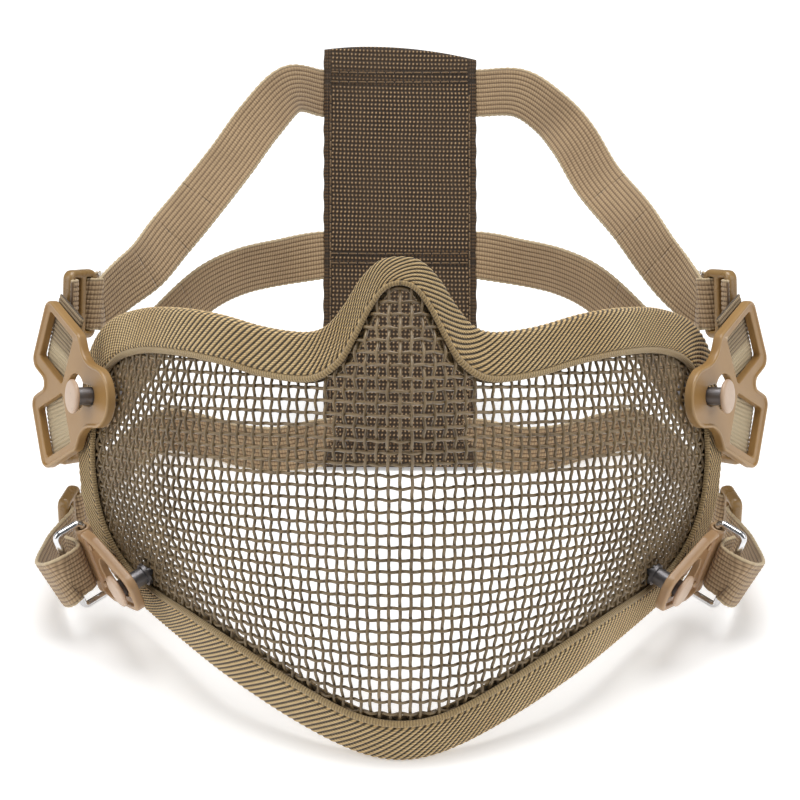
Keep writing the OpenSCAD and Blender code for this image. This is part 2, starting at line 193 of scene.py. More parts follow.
def joined(parts):
    """Several (points, faces) as one."""
    points, faces, at = [], [], 0
    for p, f in parts:
        points.append(p)
        faces += [[k + at for k in face] for face in f]
        at += len(p)
    return np.concatenate(points), faces


def distances(line):
    """Distance along a line at each of its points."""
    return np.concatenate([[0], np.cumsum(np.linalg.norm(np.diff(line, axis=0), axis=1))])


def resampled(s, run, rows):
    """Rows of a line known at the distances run, at the distances s."""
    return np.stack([np.interp(s, run, rows[:, k]) for k in range(3)], 1)


def catmull(points, t, closed=True):
    """Catmull-Rom curve through rows of points, at parameters t."""
    points = np.asarray(points, float)
    n = len(points)
    k = np.floor(t).astype(int)
    if not closed:
        k = np.clip(k, 0, n - 2)
    f = (t - k)[:, None]
    pick = (lambda i: points[i % n]) if closed else (lambda i: points[np.clip(i, 0, n - 1)])
    a, b, c, d = pick(k - 1), pick(k), pick(k + 1), pick(k + 2)
    return b + 0.5 * f * (c - a + f * (2 * a - 5 * b + 4 * c - d + f * (3 * (b - c) + d - a)))


# ---- Materials ----
def srgb(r, g, b):
    """A colour given as it looks, 0 to 255, in linear light."""
    return tuple((v / 255 / 12.92) if v < 11 else ((v / 255 + 0.055) / 1.055) ** 2.4
                 for v in (r, g, b)) + (1,)


class Nodes:
    """A short way to build one material's nodes."""

    def __init__(self, name, roughness, metallic=0.0, **sockets):
        self.material = bpy.data.materials.new(name)
        self.material.use_nodes = True
        self.tree = self.material.node_tree
        self.shader = self.tree.nodes["Principled BSDF"]
        self.shader.inputs["Roughness"].default_value = roughness
        self.shader.inputs["Metallic"].default_value = metallic
        for key, value in sockets.items():
            self.shader.inputs[key.replace("_", " ")].default_value = value

    def put(self, socket, value):
        if isinstance(value, bpy.types.NodeSocket):
            self.tree.links.new(value, socket)
        else:
            socket.default_value = value

    def node(self, kind, **settings):
        made = self.tree.nodes.new(kind)
        for key, value in settings.items():
            setattr(made, key, value)
        return made

    def math(self, op, a, b=0.0, c=0.0):
        made = self.node("ShaderNodeMath", operation=op)
        for socket, value in zip(made.inputs, (a, b, c)):
            self.put(socket, value)
        return made.outputs[0]

    def mix(self, share, a, b, blend="MIX"):
        made = self.node("ShaderNodeMix", data_type="RGBA", blend_type=blend)
        self.put(made.inputs["Factor"], share)
        self.put(made.inputs[6], a)
        self.put(made.inputs[7], b)
        return made.outputs[2]

    def tint(self, share, strength, a, b, blend="MIX"):
        """From a towards b by a share times a strength."""
        return self.mix(self.math("MULTIPLY", share, strength), a, b, blend)

    def noise(self, scale, detail=3, vector=None):
        made = self.node("ShaderNodeTexNoise")
        made.inputs["Scale"].default_value = scale
        made.inputs["Detail"].default_value = detail
        if vector is None:
            vector = self.node("ShaderNodeTexCoord").outputs["Object"]
        self.tree.links.new(vector, made.inputs["Vector"])
        return made.outputs["Fac"]

    def spread(self, value, low, high):
        """value from low..high to 0..1"""
        made = self.node("ShaderNodeMapRange")
        self.put(made.inputs[0], value)
        made.inputs[1].default_value = low
        made.inputs[2].default_value = high
        return made.outputs[0]

    def weave(self):
        """The mesh's own (along, across, height) in millimetres."""
        layer = self.node("ShaderNodeAttribute", attribute_name="weave")
        parts = self.node("ShaderNodeSeparateXYZ")
        self.tree.links.new(layer.outputs["Vector"], parts.inputs[0])
        return parts.outputs

    def wave(self, value, period, phase=0.0):
        """0..1 and back over each period"""
        turn = self.math("MULTIPLY_ADD", value, 2 * math.pi / period, phase)
        return self.math("MULTIPLY_ADD", self.math("SINE", turn), 0.5, 0.5)

    def bump(self, height, distance, strength=1.0, normal=None):
        made = self.node("ShaderNodeBump")
        made.inputs["Strength"].default_value = strength
        made.inputs["Distance"].default_value = distance / 1000
        self.put(made.inputs["Height"], height)
        if normal is not None:
            self.put(made.inputs["Normal"], normal)
        return made.outputs[0]

    def done(self, colour, normal=None, roughness=None):
        self.put(self.shader.inputs["Base Color"], colour)
        if normal is not None:
            self.put(self.shader.inputs["Normal"], normal)
        if roughness is not None:
            self.put(self.shader.inputs["Roughness"], roughness)
        return self.material


def painted_wire():
    """Satin paint over steel wire, rubbed darker and barer in places."""
    n = Nodes("painted_wire", 0.36, Coat_Weight=0.35, Coat_Roughness=0.22)
    worn = n.spread(n.noise(900, 4), 0.52, 0.68)
    patches = n.spread(n.noise(60, 3), 0.3, 0.7)
    paint = n.mix(patches, srgb(112, 92, 62), srgb(140, 119, 86))
    colour = n.tint(worn, 0.55, paint, srgb(72, 62, 52))
    rough = n.math("MULTIPLY_ADD", n.noise(1500, 3), 0.25, 0.3)
    return n.done(colour, n.bump(n.noise(2600, 4), 0.05, 0.5), rough)


def binding_tape():
    """Twill tape: twisted cords along each rib, deep shade between them, a knitted inner edge."""
    n = Nodes("binding_tape", 0.8, Sheen_Weight=0.25, Sheen_Roughness=0.5)
    along, across, height = n.weave()
    strand = n.wave(n.math("ADD", along, n.math("MULTIPLY", across, 0.35)), 0.95)
    fuzz = n.noise(3800, 4)
    shade = n.mix(n.spread(height, 0.4, 0.85), srgb(30, 18, 4), srgb(236, 204, 148))
    shade = n.mix(n.spread(strand, 0.0, 0.5), n.mix(0.55, shade, srgb(60, 40, 14)), shade)
    patches = n.spread(n.noise(45, 3), 0.35, 0.65)
    shade = n.tint(patches, 0.35, shade, srgb(214, 190, 140), "MULTIPLY")
    colour = n.tint(fuzz, 0.16, shade, srgb(224, 198, 146))
    normal = n.bump(strand, 0.22, 0.9, n.bump(fuzz, 0.08, 0.5))
    return n.done(colour, normal)


def elastic(name, dark, light, rib=0.9):
    """Knitted elastic: cords along the strap with fine crosswise ticks and a pale edge; painted
    shade darkens the grooves between the cords and the ticks.
    """
    n = Nodes(name, 0.82, Sheen_Weight=0.2, Sheen_Roughness=0.5)
    along, across, height = n.weave()
    tick = n.wave(n.math("ADD", along, n.math("MULTIPLY", across, 0.12)), rib)
    fuzz = n.noise(3200, 4)
    # Painted shade: colour by rib height, dark down in the grooves between the cords, and darker
    # again in the troughs between the crosswise ticks.
    cord = n.mix(n.spread(height, 0.0, 0.8), dark, light)
    cord = n.tint(n.spread(tick, 0.45, 0.0), 0.4, cord, dark)
    cord = n.tint(n.spread(n.noise(50, 3), 0.4, 0.7), 0.25, cord, dark)
    edge = n.spread(n.math("ABSOLUTE", across), 6.6, 7.3)
    cord = n.tint(edge, 0.7, cord, srgb(214, 196, 160))
    colour = n.tint(fuzz, 0.22, cord, light)
    normal = n.bump(tick, 0.16, 0.9, n.bump(fuzz, 0.06, 0.5))
    return n.done(colour, normal)


def nylon_webbing():
    """Coarse dark webbing: painted highlight on the yarn crowns over painted deep brown shade in the
    gaps.
    """
    n = Nodes("nylon_webbing", 0.7, Sheen_Weight=0.15, Sheen_Roughness=0.4)
    _, _, height = n.weave()
    fuzz = n.noise(4200, 4)
    # Colour by weave height: painted shade in the gaps between yarns, painted highlight on their
    # crowns.
    yarn_shade_and_highlight = n.mix(n.spread(height, 0.25, 0.7), srgb(26, 12, 0), srgb(112, 80, 44))
    yarn_shade_and_highlight = n.mix(n.spread(height, 0.66, 0.96), yarn_shade_and_highlight, srgb(226, 198, 156))
    patches = n.spread(n.noise(70, 3), 0.35, 0.65)
    colour = n.tint(patches, 0.3, yarn_shade_and_highlight, srgb(70, 52, 32))
    return n.done(n.tint(fuzz, 0.08, colour, srgb(150, 126, 92)),
                  n.bump(fuzz, 0.1, 0.6))


def moulded(name, base, deep, gloss):
    """Moulded plastic: faint flow marks, fine grain, and a painted highlight paler along the convex
    edges.
    """
    n = Nodes(name, gloss, Coat_Weight=0.12, Coat_Roughness=0.25)
    flow = n.spread(n.noise(38, 4), 0.35, 0.7)
    speck = n.spread(n.noise(1400, 3), 0.6, 0.75)
    edge = n.node("ShaderNodeNewGeometry").outputs["Pointiness"]
    colour = n.tint(flow, 0.45, base, deep)
    colour = n.tint(speck, 0.18, colour, deep)
    # Painted highlight: paler along the convex edges, found by pointiness.
    colour = n.tint(n.spread(edge, 0.52, 0.62), 0.45, colour, srgb(226, 200, 158))
    rough = n.math("MULTIPLY_ADD", n.noise(260, 4), 0.16, gloss - 0.06)
    return n.done(colour, n.bump(n.noise(1100, 4), 0.03, 0.5), rough)


def worn_metal(name, colour, roughness, mark):
    """Turned or plated metal with fine scratches and handling marks."""
    n = Nodes(name, roughness, metallic=1.0)
    stretch = n.node("ShaderNodeMapping")
    stretch.inputs["Scale"].default_value = (1, 1, 9)
    n.tree.links.new(n.node("ShaderNodeTexCoord").outputs["Object"], stretch.inputs[0])
    scratch = n.noise(700, 5, stretch.outputs[0])
    shade = n.tint(n.spread(n.noise(500, 3), 0.5, 0.75), mark, colour, srgb(96, 88, 80))
    rough = n.math("MULTIPLY_ADD", scratch, 0.22, roughness - 0.08)
    return n.done(shade, n.bump(scratch, 0.02, 0.4), rough)


def cap_paint():
    """Pale painted disc with small chips scattered over its paint."""
    n = Nodes("cap_paint", 0.38, Coat_Weight=0.2, Coat_Roughness=0.2)
    chips = n.spread(n.noise(900, 4), 0.62, 0.7)
    tone = n.mix(n.spread(n.noise(150, 3), 0.3, 0.7), srgb(200, 172, 146), srgb(186, 156, 130))
    return n.done(n.tint(chips, 0.35, tone, srgb(150, 124, 98)),
                  n.bump(n.noise(1300, 3), 0.02, 0.4))


WIRE = painted_wire()
TAPE = binding_tape()
STRAP = elastic("strap_elastic", srgb(92, 68, 44), srgb(184, 156, 120))
# A darker copy of the strap elastic: painted shade for the band that lies behind the buckle's bars.
BAND_PAINTED_SHADE = elastic("band_elastic_painted_shade", srgb(44, 28, 12), srgb(178, 156, 122), 0.8)
WEBBING = nylon_webbing()
BUCKLE = moulded("buckle_plastic", srgb(164, 126, 74), srgb(136, 101, 54), 0.34)
TAB = moulded("tab_plastic", srgb(168, 130, 92), srgb(138, 103, 68), 0.32)
SLIDER = moulded("slider_plastic", srgb(146, 112, 62), srgb(112, 82, 40), 0.26)
STEEL = worn_metal("stud_steel", srgb(128, 126, 128), 0.42, 0.5)
CHROME = worn_metal("ring_chrome", srgb(222, 222, 224), 0.14, 0.25)
CAP = cap_paint()
THREAD = elastic("seam_thread", srgb(60, 42, 24), srgb(128, 102, 70))

# ---- Outlines, right half from the nose down to the chin: (x, z) ----
RIM_HALF = [
    (0, 131), (5, 130), (9.5, 125.5), (13.5, 119), (18, 113.8), (24, 111.8), (35, 113),
    (47, 116), (58, 117.4), (70, 116.8), (80.5, 113), (86.5, 105), (89, 92), (89.8, 76),
    (88.4, 62), (85, 50.5), (79.5, 41), (70.5, 33.6), (58, 26), (44, 18.2), (30, 10.5),
    (17, 4.3), (8, 1.1), (0, 0),
]
OPENING_HALF = [
    (0, 123.5), (3.6, 122), (7, 117), (10.2, 110.5), (14.5, 103.5), (22, 99), (34, 99.8),
    (46, 102.8), (57, 104.6), (68, 104.8), (76.5, 102.4), (81.4, 97), (83.8, 88),
    (84.8, 75.5), (83.6, 63.5), (80.4, 53.6), (74.8, 45.8), (66.6, 40.6), (55, 36.2),
    (42, 29.4), (29, 22), (16.5, 15.4), (8, 12.3), (0, 11.3),
]


def whole(half):
    return np.array(half + [(-x, z) for x, z in half[-2:0:-1]])


RIM = whole(RIM_HALF)
OPENING = whole(OPENING_HALF)
LOOP = len(RIM)


def across_tape(t, share):
    """A point between the rim's edge (share 0) and the opening (share 1), as x and z."""
    outer, inner = catmull(RIM, t), catmull(OPENING, t)
    return outer + np.asarray(share)[..., None] * (inner - outer)


# ---- Woven wire ----
ROW_PITCH = 3.15
COLUMN_PITCH = 2.62
NOSE_COLUMN_EXTRA = 0.38
LAST_COLUMN = 56
LAST_ROW = 43
WIRE_R = 0.45
CRIMP = 0.41
WIRE_SIDES = 6
PER_CROSSING = 4
CLIP_SHARE = 0.42


def column_counts():
    """Places from the middle outward, and how many wires lie within each."""
    x = np.linspace(0, 95, 500)
    slope = np.gradient(mesh_y(x, 60.0), x)
    pitch = COLUMN_PITCH + NOSE_COLUMN_EXTRA * np.exp(-((x / 12) ** 2))
    return x, np.concatenate([[0], np.cumsum((np.hypot(1, slope) / pitch)[1:] * np.diff(x))])


COLUMN_X, COLUMN_COUNT = column_counts()


def lattice(column, row):
    """Where a vertical wire's number and a row's number meet, as x and z."""
    start = np.sign(column) * np.interp(np.abs(column), COLUMN_COUNT, COLUMN_X)
    pull = 0.35 + 0.65 * (start / WIDEST_X) ** 2
    level = row * ROW_PITCH
    z = level + 0.0 * start
    for _ in range(40):
        x = start * (1 - pull * (1 - edge_x(z) / WIDEST_X))
        rise = 17 * np.clip((WIDEST_Z - z) / 75, 0, 1) ** 1.5 * (x / 58) ** 2
        z = 0.5 * z + 0.5 * (level + rise)
    return x, z


def inside(x, z, loop):
    """Which points lie in a closed loop, by crossings."""
    hit = np.zeros(x.shape, bool)
    for (x1, z1), (x2, z2) in zip(loop, np.roll(loop, -1, 0)):
        if z1 != z2:
            hit ^= ((z1 > z) != (z2 > z)) & (x < x1 + (z - z1) * (x2 - x1) / (z2 - z1))
    return hit


def wires(vertical):
    """Every wire of one direction, as one mesh's points and faces."""
    around = np.linspace(0, LOOP, LOOP * 6, endpoint=False)
    clip = across_tape(around, np.full(len(around), CLIP_SHARE))
    columns, rows = (-LAST_COLUMN, LAST_COLUMN), (-2, LAST_ROW + 1)
    first, last = columns if vertical else (0, LAST_ROW)
    low, high = rows if vertical else columns
    parts = []
    for i in range(first, last + 1):
        free = np.arange(low, high + 1e-6, 1 / PER_CROSSING)
        drift = 0.05 * math.sin(2.3 * i) * np.sin(free * 0.31 + i)
        sway = 0.03 * np.sin(math.pi * (free + i)) + drift
        fixed = i + sway
        x, z = lattice(fixed, free) if vertical else lattice(free, fixed)
        height = CRIMP * np.cos(math.pi * (free + i)) * (1 if vertical else -1)
        keep = inside(x, z, clip)
        runs = np.split(np.arange(len(x)), np.flatnonzero(np.diff(keep.astype(int))) + 1)
        for run in runs:
            if not keep[run[0]] or len(run) < 4:
                continue
            line = off_mesh(x[run], z[run], height[run])
            out = mesh_normal(x[run], z[run])
            ahead = unit(np.gradient(line, axis=0))
            side = unit(np.cross(ahead, out))
            up = np.cross(side, ahead)
            parts.append(tube(leant(cord(line, side, up, WIRE_R, WIRE_SIDES))))
    return joined(parts)


def make_mesh():
    """Both directions of wire, in place of the CAD's plain shell."""
    for name, vertical in (("mesh_vertical_wires", True), ("mesh_level_wires", False)):
        points, faces = wires(vertical)
        obj = build(name, points, faces, WIRE)
        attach(obj, "mask")
    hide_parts("wire_mesh")


# ---- Binding ----
TAPE_W = 12.5
FOLD_H = 2.2
RIB_ANGLE = math.radians(40)
RIB_PITCH = 1.2
RIB_STEPS = 6
RIB_H = 0.42
SLOT_H = 0.98
# Across one face: (share from the edge to the opening, height, rib strength)
FACE = [
    (0.0, 0.0, 1), (0.006, 0.32, 1), (0.022, 0.6, 1), (0.05, 0.82, 1), (0.09, 0.95, 1),
    (0.14, 1.0, 1), (0.22, 1.0, 1), (0.3, 0.99, 1), (0.38, 0.98, 1), (0.46, 0.97, 1),
    (0.54, 0.96, 1), (0.62, 0.95, 1), (0.7, 0.94, 1), (0.78, 0.93, 1), (0.835, 0.9, 0.7),
    (0.86, 0.72, 0), (0.865, 0.72, 0), (0.885, 0.9, 0), (0.92, 1.0, 0), (0.955, 0.98, 0),
    (0.985, 0.82, 0), (1.0, 0.56, 0),
]
SELVEDGE_FROM = 0.862
EDGE_FADE = 0.09
INNER = [(1.0, SLOT_H), (0.7, SLOT_H), (0.34, SLOT_H), (0.34, -SLOT_H), (0.7, -SLOT_H),
         (1.0, -SLOT_H)]


def make_binding():
    """Folded tape round the whole rim, its ribs slanting across both faces."""
    t_fine = np.linspace(0, LOOP, LOOP * 40 + 1)
    middle = across_tape(t_fine, np.full(len(t_fine), 0.5))
    line = on_mesh(middle[:, 0], middle[:, 1])
    run = distances(line)
    length = run[-1]
    ribs = round(length / (RIB_PITCH / math.sin(RIB_ANGLE)))
    shear = TAPE_W / math.tan(RIB_ANGLE)
    phase = np.arange(ribs * RIB_STEPS) / RIB_STEPS
    start = phase / ribs * length
    rib = np.abs(np.sin(math.pi * phase)) ** 1.1
    columns, weave = [], []

    def column(share, height, face, strength):
        """One lengthwise line of the tape, sheared along the ribs on its faces."""
        s = (start - face * share * shear) % length
        t = np.interp(s, run, t_fine)
        lift = strength * RIB_H * (rib - 0.6)
        edge = np.clip(1 - share / EDGE_FADE, 0, 1)
        q = across_tape(t, np.full(len(t), share) - edge * lift / TAPE_W)
        columns.append(off_mesh(q[:, 0], q[:, 1], height + (1 - edge) * lift * np.sign(height)))
        if share > SELVEDGE_FROM:
            weave.append(np.stack([s * 1.25, 0 * s, 0 * s + 0.62], 1))
        else:
            along = share * TAPE_W / math.sin(RIB_ANGLE)
            weave.append(np.stack([along + 0 * s, phase * RIB_PITCH, rib], 1))

    for share, height, strength in FACE:
        column(share, height * FOLD_H, 1, strength)
    for share, height in INNER:
        column(share, height, 1 if height > 0 else -1, 0)
    for share, height, strength in FACE[:0:-1]:
        column(share, -height * FOLD_H, -1, strength)
    points = leant(np.stack(columns, 1))
    obj = build("rim_tape", points.reshape(-1, 3),
                grid_faces(points.shape[0], points.shape[1], round_rows=True), TAPE,
                weave=np.stack(weave, 1).reshape(-1, 3))
    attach(obj, "mask")
    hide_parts("rim_binding")


# ---- Elastic ----
STRAP_W = 15
STRAP_RIBS = 11
STRAP_STEP = 0.7
STRAP_HALF_T = 0.4
STRAP_RIB_H = 0.24


def strap_line(route):
    """Even samples of a route: centres, unit vectors across the width, and distances."""
    t = np.linspace(0, len(route) - 1, 60 * len(route))
    centre = catmull([p for p, _ in route], t, closed=False)
    width = catmull([w for _, w in route], t, closed=False)
    run = distances(centre)
    s = np.linspace(0, run[-1], int(run[-1] / STRAP_STEP) + 1)
    centre, width = resampled(s, run, centre), resampled(s, run, width)
    ahead = unit(np.gradient(centre, axis=0))
    width = unit(width - (width * ahead).sum(1, keepdims=True) * ahead)
    return centre, width, np.cross(ahead, width), s


def ribbed(name, line, first, last, side, material):
    """A ribbed ribbon over part of a line, from the sample first to the sample last."""
    centre, width, out, s = (part[first:last + 1] for part in line)
    y = np.linspace(-0.5, 0.5, STRAP_RIBS * 4 + 1)
    rib = np.abs(np.sin(math.pi * STRAP_RIBS * y)) ** 0.8
    edge = np.clip((0.5 - np.abs(y)) * STRAP_W / 0.4, 0, 1) ** 0.5
    half = (STRAP_HALF_T + STRAP_RIB_H * rib) * (0.35 + 0.65 * edge)
    across = np.concatenate([y, y[::-1]]) * STRAP_W
    lift = np.concatenate([half, -half[::-1]])
    height = np.concatenate([rib, rib[::-1]])
    wave = 0.1 * np.sin(s * 2.9)[:, None] * (np.abs(across) > 0.47 * STRAP_W)
    points = (centre[:, None] + width[:, None] * (across + np.sign(across) * wave)[..., None]
              + out[:, None] * lift[None, :, None])
    flat, faces = tube(points)
    weave = np.stack(np.broadcast_arrays(s[:, None], across[None], height[None]), -1)
    return build(name, flat, faces, material, side, weave.reshape(-1, 3))


def bent_pieces(name, route, side, parts, material, replaced):
    """A strap cut where one body's share ends: parts are (end of the piece in mm, a, b)."""
    line = strap_line(route)
    total, first, pieces = line[3][-1], 0, []
    for k, (end, a, b) in enumerate(parts):
        stop = total if end is None else end
        last = int(np.argmin(np.abs(line[3] - stop)))
        obj = ribbed(f"{name}_{k + 1}", line, first, last, side, material)
        if b is None:
            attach(obj, a)
        else:
            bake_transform(obj)
        pieces.append(obj)
        first = last
    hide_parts(replaced)


UPPER_PLATE = plate_matrix(UPPER)
LOWER_PLATE = plate_matrix(LOWER)
SLIDER_TURN = math.radians(67)
TOP_SLIDER_AT = (28, 22.6, -11.2)
MIDDLE_SLIDER_AT = (30, -14, -11)


def slider_matrix(at):
    """A harness slider's frame, placed on the upper plate."""
    m = Matrix(UPPER_PLATE.tolist()) @ Matrix.Translation(at)
    return np.array(m @ Matrix.Rotation(SLIDER_TURN, 4, "Y"))


LOWER_SLIDER_AT = (97.2, 104, 10.2)
LOWER_SLIDER = np.array(Matrix.Translation(LOWER_SLIDER_AT)
                        @ Matrix.Rotation(math.radians(102), 4, "Z")
                        @ Matrix.Rotation(math.radians(90), 4, "X"))
# Through a slider, along the strap: under one bar, over the middle one and under the next
THREADING = [(9.5, -1.2), (6.2, -2.6), (3.6, -2.0), (2.2, 0.1), (0, 1.95), (-2.2, 0.1),
             (-3.6, -2.0), (-6.4, -2.5)]


def threaded(m, forward=1):
    """Route points through a slider, in the floor frame."""
    up = m[:3, 1]
    return [(tuple(moved(m, (x, 0, z))), tuple(up)) for x, z in THREADING][::forward]


PANEL_LEAN = math.radians(32)
PANEL_UP = (0, math.sin(PANEL_LEAN), math.cos(PANEL_LEAN))
TOP_ROUTE = {
    "left": [
        ((20, 216, 100.9), PANEL_UP), ((24.6, 215.6, 101), PANEL_UP),
        ((34, 205.6, 106.2), (0.2, 0.5, 0.85)), ((43, 193, 101), (0.5, 0.45, 0.7)),
        ((52, 180, 92.5), (0.7, 0.35, 0.5)), ((61.5, 165, 85), (0.8, 0.2, 0.5)),
        ((69, 152, 80), (0.8, -0.1, 0.6)), ((74.5, 141, 76.5), (0.6, 0, 0.8)),
        ((80.8, 132, 74.4), (0.2, 0.2, 0.95)),
    ],
    "right": [
        ((20, 216, 100.9), PANEL_UP), ((25.2, 215.4, 101.1), PANEL_UP),
        ((37, 206.4, 104.7), (0, 0.5, 0.86)), ((46, 196, 102.5), (0.1, 0.5, 0.86)),
        ((53, 185, 98), (0.5, 0.5, 0.7)), ((60, 172, 90), (0.75, 0.3, 0.55)),
        ((69, 154, 85), (0.7, 0.2, 0.7)), ((75.5, 141, 79.5), (0.45, 0.3, 0.85)),
        ((81.2, 131.8, 75), (0.2, 0.4, 0.9)),
    ],
}
MIDDLE_ROUTE = [
    ((20, 188.6, 57.2), PANEL_UP), ((25, 188, 57.5), PANEL_UP), ((37, 181, 58.5), (0, 0.2, 0.98)),
    ((49, 171, 60), (0.1, 0.1, 0.98)), ((59, 160, 59.5), (0.1, 0.2, 0.97)),
    ((68, 147, 56), (0.1, 0.3, 0.95)), ((77, 133, 50), (0.1, 0.3, 0.95)),
]
LOWER_FRONT_ROUTE = [
    ((95.3, 57.6, 17.2), (0.45, 0.1, 0.88)), ((98, 63.5, 13.6), (0.52, 0.2, 0.83)),
    ((99.4, 71, 10.8), (0.47, 0.1, 0.88)), ((99.9, 80, 9.2), (0.3, 0, 0.95)),
    ((99.8, 88.5, 8.8), (0.1, 0, 1)),
]
LOWER_BACK_ROUTE = [
    ((92.5, 124, 8.2), (0, 0, 1)), ((88, 140, 7.7), (0, 0, 1)), ((81.5, 156, 7.7), (0, 0, 1)),
    ((73, 165, 7.7), (0, 0, 1)), ((62, 161.5, 7.7), (0, 0, 1)), ((50, 155, 7.7), (0, 0, 1)),
    ((38, 152.6, 7.7), (0, 0.1, 1)), ((25, 156.4, 7.8), (0, 0.4, 0.92)),
    ((19, 157.2, 7.8), PANEL_UP),
]
RING_REACH = 8
TAB_LEN = 20
HINGE_DROP = 1.5
# Round the ring's outer bar: (back along the strap, out from the mask), from the bar's centre
RING_WRAP = [(5.5, -4.0), (2.6, -4.9), (0.2, -5.2), (-1.8, -4.4), (-2.4, -2.4), (-2.5, 0.2),
             (-2.2, 2.4)]


# Ends of a strap's parts: back from the buckle's end, on from the ring, and from the slider
HARNESS_CUTS = (74, 56, 40, 19.5, 5.5)
RING_CUTS = (20, 28, 36)
SLIDER_CUTS = (-20, -8.5, 8.5, 26)


def to_buckle(body, slider, length):
    """A harness strap's parts, carried by each body in turn, up to and past its slider."""
    chain = ["harness", "mask", body + "upper_stud", body + "buckle", slider, None]
    parts = [(length - cut, a, b) for cut, a, b in zip(HARNESS_CUTS, chain, chain[1:])]
    return parts + [(None, slider, body + "buckle")]


def make_straps(side_name, side):
    """The top and middle straps to the buckle's sliders, and the lower one round the ring."""
    body = side_name + "_"
    for level, route, at in (("top", TOP_ROUTE[side_name], TOP_SLIDER_AT),
                             ("middle", MIDDLE_ROUTE, MIDDLE_SLIDER_AT)):
        route = route + threaded(slider_matrix(at))
        length = strap_line(route)[3][-1]
        parts = to_buckle(body, f"{body}{level}_slider", length)
        bent_pieces(f"{body}{level}_elastic", route, side, parts, STRAP, f"{body}{level}_strap")
    bar = moved(LOWER_PLATE, (TAB_LEN, 0, RING_REACH - HINGE_DROP))
    u, v, n = LOWER_PLATE[:3, 0], LOWER_PLATE[:3, 1], LOWER_PLATE[:3, 2]
    wrap = [(tuple(bar + a * u + b * n), tuple(v)) for a, b in RING_WRAP]
    lower = wrap + LOWER_FRONT_ROUTE + threaded(LOWER_SLIDER, -1) + LOWER_BACK_ROUTE
    line = strap_line(lower)
    at = line[3][np.argmin(np.linalg.norm(line[0] - LOWER_SLIDER[:3, 3], axis=1))]
    ring, tab, stud, slider = (body + name for name in ("ring", "tab", "lower_stud", "lower_slider"))
    carriers = [(ring, None), (ring, tab), (tab, stud), (stud, "mask"), ("mask", slider),
                (slider, None), (slider, "mask"), ("mask", "harness")]
    ends = [*RING_CUTS, *(at + cut for cut in SLIDER_CUTS), None]
    parts = [(end, *pair) for end, pair in zip(ends, carriers)]
    bent_pieces(body + "lower_elastic", lower, side, parts, STRAP, body + "lower_strap")


# ---- Moulded plates ----
def fillet(p, q, s, r, steps=7):
    """Points round the corner q between p and s."""
    p, q, s = (np.array(v[:2], float) for v in (p, q, s))
    u1, u2 = unit(p - q), unit(s - q)
    half = math.acos(float(u1 @ u2)) / 2
    c = q + unit(u1 + u2) * r / math.sin(half)
    d = r / math.tan(half)
    v1, v2 = q + u1 * d - c, q + u2 * d - c
    a = math.degrees(math.atan2(v1[1], v1[0]))
    turn = (math.degrees(math.atan2(v2[1], v2[0])) - a + 540) % 360 - 180
    return arc(c, r, a, a + turn, steps)


def rounded(corners):
    """A loop through corners of (x, y, radius)."""
    n = len(corners)
    return [p for i in range(n)
            for p in fillet(corners[i - 1], corners[i], corners[(i + 1) % n], corners[i][2])]


def box_corners(w, h, r, at=(0, 0)):
    """A box's four corners with one radius, counterclockwise."""
    x, y = at
    return [(x - w / 2, y - h / 2, r), (x + w / 2, y - h / 2, r), (x + w / 2, y + h / 2, r),
            (x - w / 2, y + h / 2, r)]


def arc(centre, r, first, last, steps):
    """Points on an arc between two angles in degrees."""
    return [(centre[0] + r * math.cos(a), centre[1] + r * math.sin(a))
            for a in np.radians(np.linspace(first, last, steps))]


def inset(loop, d):
    """A counterclockwise loop moved inward by d."""
    ahead = unit(np.roll(loop, -1, 0) - loop)
    left = np.stack([-ahead[:, 1], ahead[:, 0]], 1)
    both = unit(left + np.roll(left, 1, 0))
    return loop + both * (d / np.maximum(0.6, (both * left).sum(1)))[:, None]


def plate(name, outline, holes, rim, lip, matrix, material, side, extra=()):
    """A moulded plate. rim lists (inset, z) up its outer wall, lip the same down each hole."""
    points, loops = [], []

    def ring(loop, z):
        first = sum(len(p) for p in points)
        points.append(np.column_stack([loop, np.full(len(loop), z)]))
        loops.append(list(range(first, first + len(loop))))
        return loops[-1]

    outline = np.array(outline, float)
    rings = [ring(inset(outline, d), z) for d, z in rim]
    faces, top, bottom, stacks = [], [rings[-1]], [rings[0]], [rings]
    for hole in holes:
        rings = [ring(inset(np.array(hole, float), -d), z) for d, z in lip]
        top.append(rings[0])
        bottom.append(rings[-1])
        stacks.append(rings)
    for rings in stacks:
        for a, b in zip(rings, rings[1:]):
            faces += [(a[k], a[(k + 1) % len(a)], b[(k + 1) % len(a)], b[k]) for k in range(len(a))]
    flat = np.concatenate(points)
    for add_points, add_faces in extra:
        faces += [tuple(k + len(flat) for k in f) for f in add_faces]
        flat = np.concatenate([flat, add_points])
    obj = build(name, moved(matrix, flat), faces, material, side)
    bm = bmesh.new()
    bm.from_mesh(obj.data)
    bm.verts.ensure_lookup_table()
    for cap in (top, bottom):
        edges = [bm.edges.get((bm.verts[loop[k]], bm.verts[loop[(k + 1) % len(loop)]]))
                 for loop in cap for k in range(len(loop))]
        bmesh.ops.triangle_fill(bm, use_beauty=True, use_dissolve=False, edges=edges)
    bmesh.ops.recalc_face_normals(bm, faces=bm.faces)
    for face in bm.faces:
        face.smooth = True
    bm.to_mesh(obj.data)
    bm.free()
    obj.modifiers.new("even_shading", "WEIGHTED_NORMAL").keep_sharp = True
    return obj


def revolve(profile, steps=40):
    """Points and faces of a profile of (radius, height) turned about Z."""
    angles = np.arange(steps) * 2 * math.pi / steps
    rings = [[(r * math.cos(a), r * math.sin(a), z) for a in angles] for r, z in profile]
    return tube(np.array(rings, float))


KEY_SLOT_R = 2.9
KEY_R = 5.2
KEY_TRAVEL = 8.4


